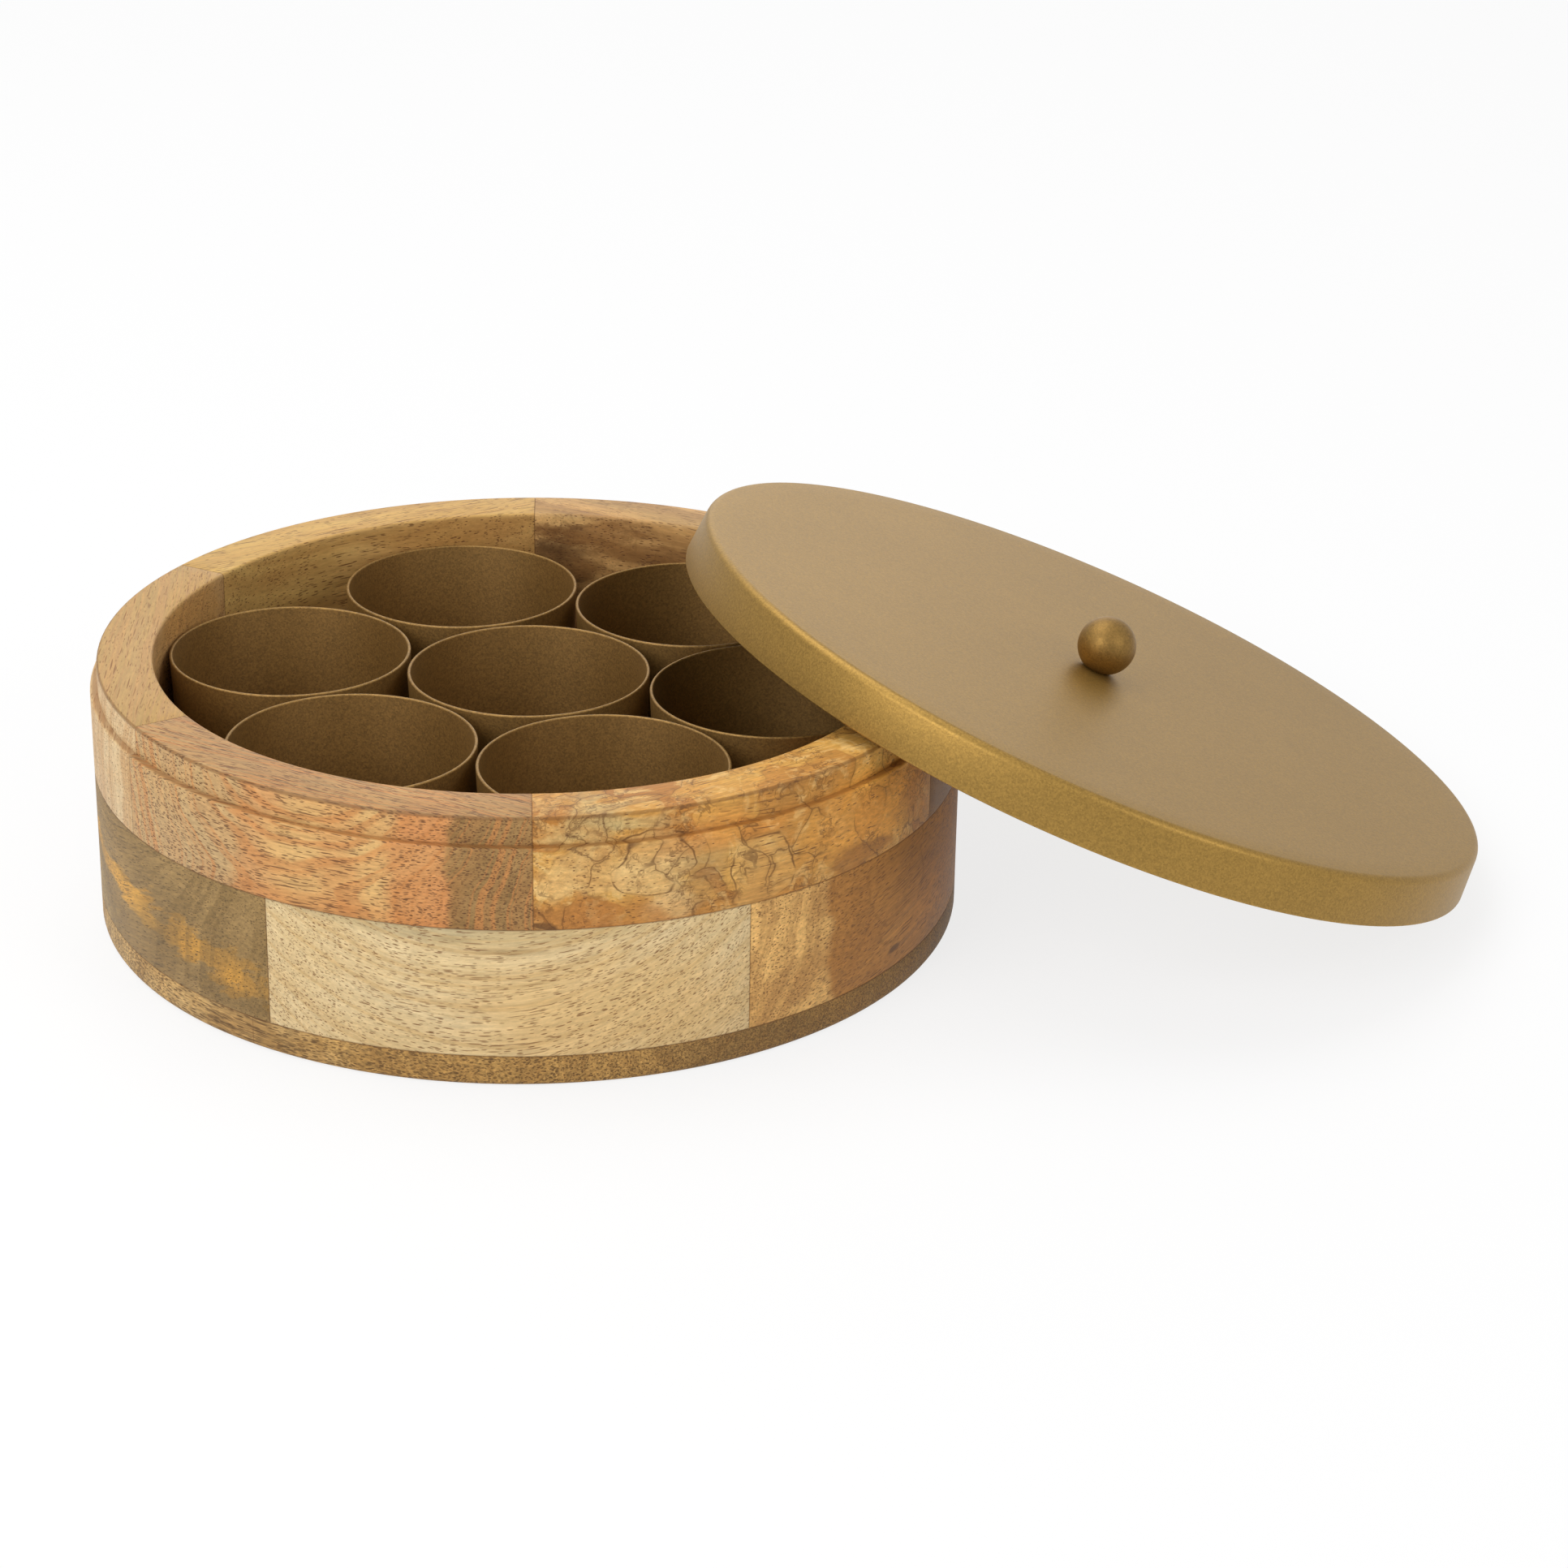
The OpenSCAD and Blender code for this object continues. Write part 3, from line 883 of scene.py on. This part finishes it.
# %% [markdown]
# ## The turned wooden blocks
#
# The real wall is built from blocks glued end to end and then turned on a lathe.
# A lathe cuts one outline all the way round, so each block is that outline spun
# through its share of the turn, about 60 degrees. It could be cut from a whole
# ring too, but then the joints would have no edges of their own. The edges get a
# tiny bevel, because no sanded edge is sharp and a bevel catches the light.

# %% Spin one block
SANDED = 0.12 * MM
LEDGE_EDGE = 0.5 * MM
SPIN_STEPS = 24


def outline_plane(name, low_z, high_z):
    """A flat rectangle that stands in the XZ plane, from the bore to the outside of the wall."""
    nothing_selected()
    middle = ((BORE_R + BOX_R) / 2, 0, (low_z + high_z) / 2)
    bpy.ops.mesh.primitive_plane_add(size=1.0, location=middle, rotation=(math.pi / 2, 0, 0))
    plane = bpy.context.object
    plane.name = name
    plane.data.name = name
    plane.scale = (BOX_R - BORE_R, high_z - low_z, 1)
    settle(plane)
    return plane


def spin_block(block, first_angle, last_angle):
    """Spin the outline through the share of the turn, and turn the block to where it starts."""
    pick(block, "faces", lambda spot: True)
    bpy.ops.mesh.spin(steps=SPIN_STEPS, angle=first_angle - last_angle, center=(0, 0, 0),
                      axis=(0, 0, 1))
    bpy.ops.mesh.select_all(action="SELECT")
    bpy.ops.mesh.remove_doubles(threshold=1e-6)
    bpy.ops.mesh.normals_make_consistent(inside=False)
    bpy.ops.object.mode_set(mode="OBJECT")
    angles = [math.atan2(v.co.y, v.co.x) for v in block.data.vertices]
    block.rotation_euler.z = first_angle - min(angles)
    settle(block)


def lower_block(index):
    """One block of the lower ring, spun between its two joints."""
    block = outline_plane(f"lower_block_{index}", BASE_TOP, SPLIT_Z)
    start(block)
    spin_block(block, LOWER_JOINTS[index - 1], LOWER_JOINTS[index])
    return block


def upper_block(index):
    """One block of the upper ring, with its share of the ledge and the collar."""
    block = outline_plane(f"upper_block_{index}", SPLIT_Z, LEDGE_Z)
    start(block)
    bpy.ops.mesh.select_all(action="SELECT")
    bpy.ops.mesh.bisect(plane_co=(COLLAR_R, 0, 0), plane_no=(1, 0, 0))
    pick(block, "edges", lambda spot: abs(spot.z - LEDGE_Z) < 1e-6 and spot.x < COLLAR_R + 1e-6)
    bpy.ops.mesh.extrude_region_move(TRANSFORM_OT_translate={"value": (0, 0, RIM_Z - LEDGE_Z)})
    pick(block, "verts", lambda spot: spot.z > RIM_Z - 1e-6)
    bpy.ops.mesh.bevel(offset=RIM_EDGE, segments=4, affect="VERTICES")
    pick(block, "verts", lambda spot: abs(spot.z - LEDGE_Z) < 1e-6 and spot.x > BOX_R - 1e-6)
    bpy.ops.mesh.bevel(offset=LEDGE_EDGE, segments=3, affect="VERTICES")
    spin_block(block, UPPER_JOINTS[index - 1], UPPER_JOINTS[index])
    return block


print("outline of a block is", round((BOX_R - BORE_R) / MM, 1), "mm thick")

# %% [markdown]
# Each block of the real wall ends at two glue joints, and no two blocks are of
# quite the same length. One block could be copied round the ring, but the joints
# would then be in the wrong places. So each one is spun for itself, between the
# angles of its own joints. Its fine bevel leaves a hairline where two blocks meet.

# %% Twelve blocks
wall = []
for index in range(1, 7):
    for make, ring in ((lower_block, "lower"), (upper_block, "upper")):
        block = make(index)
        modify(block, "BEVEL", width=SANDED, segments=2, limit_method="ANGLE",
               angle_limit=math.radians(60))
        start(block)
        done(block, 30)
        node = f"{ring}_ring_segment_{index}"
        block.data.materials.append(wood_for[node])
        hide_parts(node)
        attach(block, "box")
        wall.append(block)
check(wall[0])
check(wall[1])

# %% [markdown]
# ## The base board
#
# The base is one board, turned with the wall, with its lower edge rounded so
# that it does not splinter. It starts as a disc. Insets give the flat faces some
# rings of their own, and a bevel rounds the edge.

# %% Base board
BASE_EDGE = 1.6 * MM
UNDERSIDE_INSET = 12 * MM
nothing_selected()
bpy.ops.mesh.primitive_cylinder_add(vertices=180, radius=BOX_R, depth=BASE_TOP,
                                    location=(0, 0, BASE_TOP / 2))
base = bpy.context.object
base.name = "base_board"
base.data.name = "base_board"
settle(base)
start(base)
pick(base, "faces", lambda spot: spot.z < 1e-6)
bpy.ops.mesh.inset(thickness=UNDERSIDE_INSET)
pick(base, "faces", lambda spot: spot.z > BASE_TOP - 1e-6)
bpy.ops.mesh.inset(thickness=BOX_R - BORE_R)
pick(base, "edges", lambda spot: spot.z < 1e-6 and math.hypot(spot.x, spot.y) > BOX_R - 1e-5)
bpy.ops.mesh.bevel(offset=BASE_EDGE, segments=4)
pick(base, "edges", lambda spot: spot.z > BASE_TOP - 1e-6 and math.hypot(spot.x, spot.y) > BOX_R - 1e-5)
bpy.ops.mesh.bevel(offset=SANDED, segments=2)
done(base, 30)
base.data.materials.append(wood_for["base_disc"])
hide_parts("base_disc")
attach(base, "box")
check(base)

# %% [markdown]
# ## Gold finishes
#
# The powder coat is half paint and half metal, so it is a rough metal with a
# soft shine. A plain gold metal would be the other way, but it mirrors the room
# like jewellery. The lips of the cups and of the lid get a lighter tint, which is
# a painted highlight.

# %% Gold materials
def local_space(tree, origin, tilt):
    """Object coordinates in millimetres in the frame of a piece that leans."""
    where = tree.nodes.new("ShaderNodeTexCoord")
    back = tree.nodes.new("ShaderNodeMapping")
    back.vector_type = "TEXTURE"
    back.inputs["Location"].default_value = origin
    back.inputs["Rotation"].default_value = (0, tilt, 0)
    tree.links.new(where.outputs["Object"], back.inputs["Vector"])
    return scaled(tree, back.outputs["Vector"], 1000.0)


def gold(name, colour, edge, edge_z, edge_reach, metal, rough, speck, origin=(0, 0, 0), tilt=0.0):
    """A powder-coated finish, with a painted highlight: a lighter tint round the edge that is this high
    in mm.
    """
    material, tree, shader = blank_material(name)
    point = local_space(tree, origin, tilt)
    off_edge = maths(tree, "ABSOLUTE", minus(tree, split(tree, point)[2], edge_z))
    # painted highlight: a lighter tint in a thin band round the lip
    painted_highlight = smooth_range(tree, off_edge, 0.0, edge_reach, 1.0, 0.0)
    ragged = smooth_range(tree, noise(tree, scaled(tree, point, 0.5), 1.0, 3.0), 0.3, 0.62, 0.3, 1.0)
    tint = mixed(tree, times(tree, painted_highlight, ragged), srgb(*colour), srgb(*edge))
    coat = use_group(tree, gold_powder, vector=point, colour=tint, speck=speck, roughness=rough)
    tree.links.new(coat.outputs["Colour"], shader.inputs["Base Color"])
    tree.links.new(coat.outputs["Roughness"], shader.inputs["Roughness"])
    shader.inputs["Metallic"].default_value = metal
    add_bump(tree, shader, coat.outputs["Height"], 0.25, 0.00012)
    return material


# the second colour is the painted highlight at the lip; the knob's is the same as its body, so it has
# none
cup_gold = gold("cup_gold", (134, 101, 52), (146, 112, 58), (BASE_TOP + CUP_H) / MM, 0.5,
                metal=0.6, rough=0.5, speck=0.36)
lid_gold = gold("lid_gold", (155, 122, 60), (172, 137, 73), 0.0, 0.7,
                metal=0.78, rough=0.45, speck=0.24, origin=LID_ORIGIN, tilt=LID_TILT)
knob_gold = gold("knob_gold", (138, 107, 55), (138, 107, 55), 0.0, 0.5,
                 metal=0.8, rough=0.5, speck=0.24, origin=LID_ORIGIN, tilt=LID_TILT)
print("gold finishes: cup, lid, knob")

# %% [markdown]
# ## The cups
#
# A cup is drawn from thin sheet: straight, slightly slanted sides and a rounded
# foot. One cup is modelled as an outer skin, a Solidify modifier gives it the
# wall of real sheet, and a fine bevel rounds the lip. A thick-walled solid would
# be the other way, but the inside corner would not follow the outside one.

# %% One cup
CUP_CORNER = 4.6 * MM
CUP_LIP = 0.38 * MM
CUP_FLOOR_RINGS = (6 * MM, 9 * MM)
nothing_selected()
bpy.ops.mesh.primitive_cylinder_add(vertices=128, radius=CUP_R, depth=CUP_H,
                                    location=(0, 0, BASE_TOP + CUP_H / 2))
cup = bpy.context.object
cup.name = "cup_middle"
cup.data.name = "cup_middle"
settle(cup)
start(cup)
pick(cup, "faces", lambda spot: spot.z > BASE_TOP + CUP_H - 1e-6)
bpy.ops.mesh.delete(type="FACE")
pick(cup, "verts", lambda spot: spot.z < BASE_TOP + 1e-6)
bpy.ops.transform.resize(value=(CUP_FOOT_R / CUP_R, CUP_FOOT_R / CUP_R, 1),
                         center_override=(0, 0, BASE_TOP))
pick(cup, "edges", lambda spot: spot.z < BASE_TOP + 1e-6)
bpy.ops.mesh.bevel(offset=CUP_CORNER, segments=7)
pick(cup, "faces", lambda spot: spot.z < BASE_TOP + 1e-6)
for width in CUP_FLOOR_RINGS:
    bpy.ops.mesh.inset(thickness=width)
bpy.ops.mesh.select_all(action="SELECT")
bpy.ops.mesh.normals_make_consistent(inside=False)
bpy.ops.object.mode_set(mode="OBJECT")
modify(cup, "SOLIDIFY", thickness=CUP_SHEET, offset=-1, use_even_offset=True)
start(cup)
pick(cup, "edges", lambda spot: spot.z > BASE_TOP + CUP_H - 1e-5)
bpy.ops.mesh.bevel(offset=CUP_LIP, segments=3)
done(cup, 50)
cup.data.materials.append(cup_gold)
check(cup)

# %% [markdown]
# Seven cups from one press are all alike, so the first one is copied, each copy
# with a mesh of its own. Six stand in a ring round the middle one, each turned by
# another angle, as loose cups are.

# %% Seven cups
CUP_TWIST = 37
cups = [cup]
for index in range(1, 7):
    twin = copy_of(cup, f"cup_outer_{index}")
    angle = CUP_START + (index - 1) * CUP_STEP
    twin.rotation_euler.z = math.radians(CUP_TWIST * index)
    twin.location = (CUP_PITCH * math.cos(angle), CUP_PITCH * math.sin(angle), 0)
    settle(twin)
    cups.append(twin)
for piece, node in zip(cups, ["cup_centre"] + [f"cup_{index}" for index in range(1, 7)]):
    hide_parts(node)
    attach(piece, node + "_body")
print("cups:", len(cups))

# %% [markdown]
# ## The lid
#
# The lid is a pressed disc: a flat top, a round shoulder and a short skirt that
# opens slightly. It is drawn from the screw hole outwards: a small ring of
# edges is extruded to the shoulder and then down the skirt, and the shoulder is
# bevelled. It is modelled flat and then leaned against the box.

# %% Lid shell
def lean(piece):
    """Turn a piece of the lid from flat to the way it leans, with its place in its mesh."""
    piece.data.transform(Matrix.Translation(LID_ORIGIN) @ Matrix.Rotation(LID_TILT, 4, "Y"))


HOLE_R = 2.3 * MM
LID_SHOULDER = 2.0 * MM
LID_LIP = 0.35 * MM
LID_RINGS = (9 * MM, 40 * MM, 80 * MM, 105 * MM, LID_TOP_R)
nothing_selected()
bpy.ops.mesh.primitive_circle_add(vertices=192, radius=HOLE_R, location=(0, 0, LID_H))
lid = bpy.context.object
lid.name = "lid_pressed_shell"
lid.data.name = "lid_pressed_shell"
settle(lid)
start(lid)
for radius in LID_RINGS:
    bpy.ops.mesh.select_all(action="DESELECT")
    outer = max(math.hypot(v.co.x, v.co.y) for v in bmesh.from_edit_mesh(lid.data).verts)
    pick(lid, "edges", lambda spot: math.hypot(spot.x, spot.y) > outer - 1e-6)
    bpy.ops.mesh.extrude_region_move()
    bpy.ops.transform.resize(value=(radius / outer, radius / outer, 1), center_override=(0, 0, LID_H))
pick(lid, "edges", lambda spot: math.hypot(spot.x, spot.y) > LID_TOP_R - 1e-6)
bpy.ops.mesh.extrude_region_move(TRANSFORM_OT_translate={"value": (0, 0, -LID_H)})
bpy.ops.transform.resize(value=(LID_R / LID_TOP_R, LID_R / LID_TOP_R, 1), center_override=(0, 0, 0))
pick(lid, "edges",
     lambda spot: abs(spot.z - LID_H) < 1e-6 and math.hypot(spot.x, spot.y) > LID_TOP_R - 1e-5)
bpy.ops.mesh.bevel(offset=LID_SHOULDER, segments=6)
bpy.ops.mesh.select_all(action="SELECT")
bpy.ops.mesh.normals_make_consistent(inside=False)
bpy.ops.object.mode_set(mode="OBJECT")
up = sum(f.normal.z * f.area for f in lid.data.polygons)
if up < 0:
    lid.data.flip_normals()
modify(lid, "SOLIDIFY", thickness=LID_SHEET, offset=-1, use_even_offset=True)
start(lid)
pick(lid, "edges", lambda spot: spot.z < 1e-5)
bpy.ops.mesh.bevel(offset=LID_LIP, segments=3)
done(lid, 40)
check(lid)
lean(lid)
lid.data.materials.append(lid_gold)
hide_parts("lid_shell")
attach(lid, "lid")

# %% [markdown]
# ## The ball knob and its screw
#
# The knob is a solid ball with a small flat foot, held by a screw from below.
# A sphere is cut at the foot, closed, and its cut edge is eased. The screw keeps
# its measured shape and only gets a steel finish.

# %% Knob and screw
FOOT_R = 3.5 * MM
FOOT_EDGE = 0.3 * MM
sink = KNOB_R - math.sqrt(KNOB_R ** 2 - FOOT_R ** 2)
nothing_selected()
bpy.ops.mesh.primitive_uv_sphere_add(segments=64, ring_count=40, radius=KNOB_R,
                                     location=(0, 0, LID_H + KNOB_R - sink))
knob = bpy.context.object
knob.name = "knob_ball"
knob.data.name = "knob_ball"
settle(knob)
start(knob)
bpy.ops.mesh.select_all(action="SELECT")
bpy.ops.mesh.bisect(plane_co=(0, 0, LID_H), plane_no=(0, 0, 1), clear_inner=True, use_fill=True)
pick(knob, "edges", lambda spot: abs(spot.z - LID_H) < 1e-6)
bpy.ops.mesh.bevel(offset=FOOT_EDGE, segments=2)
done(knob, 40)
check(knob)
lean(knob)
knob.data.materials.append(knob_gold)
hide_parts("lid_knob")
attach(knob, "lid")


def screw_steel():
    """Bright steel with light scuffs."""
    material, tree, shader = blank_material("screw_steel")
    point = local_space(tree, LID_ORIGIN, LID_TILT)
    scuff = noise(tree, scaled(tree, point, 1.4), 1.0, 4.0, 0.6)
    tint = mixed(tree, smooth_range(tree, scuff, 0.35, 0.7), srgb(176, 176, 172), srgb(206, 206, 204))
    tree.links.new(tint, shader.inputs["Base Color"])
    tree.links.new(smooth_range(tree, scuff, 0.2, 0.8, 0.28, 0.48), shader.inputs["Roughness"])
    shader.inputs["Metallic"].default_value = 1.0
    add_bump(tree, shader, scuff, 0.15, 0.0001)
    return material


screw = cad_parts["lid_knob_screw"]
steel = screw_steel()
for slot in screw.material_slots:
    slot.material = steel
print("screw keeps its shape and gets", steel.name)

# %% [markdown]
# ## Names of the blocks
#
# The name of each block is split into its ring and its number.

# %% Block names
for block in wall:
    ring, _, index = block.name.split("_")
print("slots set for", len(wall) + 1, "wooden pieces")

# %% [markdown]
# ## Floor, light and camera
#
# The object stands on a plain white floor. More light would make the floor
# white, but it would bleach the wood too. So the floor glows instead, for the
# camera and in mirrored rays only, and it keeps a soft shadow.

# %% Floor
def backdrop_rays(tree):
    """1 for the rays that see the white backdrop: from the camera, or by way of metal or glass."""
    look = tree.nodes.new("ShaderNodeLightPath")
    straight_or_mirrored = larger(tree, look.outputs["Is Camera Ray"], look.outputs["Is Glossy Ray"])
    return larger(tree, straight_or_mirrored, look.outputs["Is Transmission Ray"])


FLOOR_SIDE = 14
FLOOR_GLOW = 0.8
nothing_selected()
bpy.ops.mesh.primitive_plane_add(size=1.0, location=(0, 0, 0))
floor = bpy.context.object
floor.name = "floor"
floor.scale = (FLOOR_SIDE, FLOOR_SIDE, 1)
settle(floor)
floor_paint, tree, shader = blank_material("floor_white")
shader.inputs["Base Color"].default_value = (0.9, 0.9, 0.9, 1)
shader.inputs["Roughness"].default_value = 0.9
shader.inputs["Specular IOR Level"].default_value = 0.1
paper = tree.nodes.new("ShaderNodeEmission")
paper.inputs["Strength"].default_value = 1.0
blend = tree.nodes.new("ShaderNodeMixShader")
tree.links.new(times(tree, backdrop_rays(tree), FLOOR_GLOW), blend.inputs[0])
tree.links.new(shader.outputs[0], blend.inputs[1])
tree.links.new(paper.outputs[0], blend.inputs[2])
tree.links.new(blend.outputs[0], tree.nodes["Material Output"].inputs["Surface"])
floor.data.materials.append(floor_paint)
print("floor laid")

# %% [markdown]
# Two large soft lamps in front, left and right, give the soft highlights on the
# ball. A big one overhead lights the wood, and one at the back right gives the
# flat lid its sheen. Small lamps would be the other way, but they put hard sparks
# on gold. The surround lights the object weakly, and is white where it is seen.

# %% Light
SURROUND_LIGHT = 0.45


def lamp(name, place, aim, size, power):
    """A soft rectangular lamp at a place, turned to its aim, with its power in watts."""
    data = bpy.data.lights.new(name, "AREA")
    data.shape = "RECTANGLE"
    data.size, data.size_y = size
    data.energy = power
    item = bpy.data.objects.new(name, data)
    bpy.context.scene.collection.objects.link(item)
    item.location = place
    item.rotation_euler = (Vector(aim) - Vector(place)).to_track_quat("-Z", "Y").to_euler()
    return item


lamp("soft_left", (-1.1, -1.0, 1.1), (0.0, 0.0, 0.03), (0.9, 0.9), 13)
lamp("soft_right", (1.1, -1.2, 1.0), (0.1, 0.0, 0.03), (0.7, 0.7), 5.0)
lamp("soft_top", (-0.3, 0.5, 1.7), (0.05, 0.0, 0.0), (1.6, 1.2), 15)
lamp("soft_back", (0.55, 2.1, 0.8), (0.1, 0.0, 0.05), (1.4, 0.9), 4.3)

sky = bpy.data.worlds.new("studio")
bpy.context.scene.world = sky
sky.use_nodes = True
tree = sky.node_tree
fill = tree.nodes["Background"]
fill.inputs["Color"].default_value = (1, 1, 1, 1)
fill.inputs["Strength"].default_value = SURROUND_LIGHT
backdrop = tree.nodes.new("ShaderNodeBackground")
backdrop.inputs["Strength"].default_value = 1.0
blend = tree.nodes.new("ShaderNodeMixShader")
tree.links.new(backdrop_rays(tree), blend.inputs[0])
tree.links.new(fill.outputs[0], blend.inputs[1])
tree.links.new(backdrop.outputs[0], blend.inputs[2])
tree.links.new(blend.outputs[0], tree.nodes["World Output"].inputs["Surface"])
print("four lamps and a white surround")

# %% [markdown]
# The camera stands about a metre away and looks down at 24 degrees, with a long
# lens, as for a shop picture of a small object.

# %% Camera
SENSOR_WIDTH = 36.0
LENS_LENGTH = 89.16
CAMERA_PLACE = (-0.129661, -0.948489, 0.454923)
CAMERA_RIGHT = Vector((0.97993, -0.19865, 0.01634))
CAMERA_UP = Vector((0.06592, 0.40034, 0.91399))
view = bpy.data.cameras.new("camera")
view.sensor_width = SENSOR_WIDTH
view.lens = LENS_LENGTH
view.clip_start = 0.05
camera = bpy.data.objects.new("camera", view)
bpy.context.scene.collection.objects.link(camera)
turn = Matrix((CAMERA_RIGHT, CAMERA_UP, CAMERA_RIGHT.cross(CAMERA_UP))).transposed()
camera.matrix_world = Matrix.Translation(CAMERA_PLACE) @ turn.to_4x4()
bpy.context.scene.camera = camera
bpy.context.scene.view_settings.view_transform = "Standard"
print("camera at", [round(c, 3) for c in camera.location])
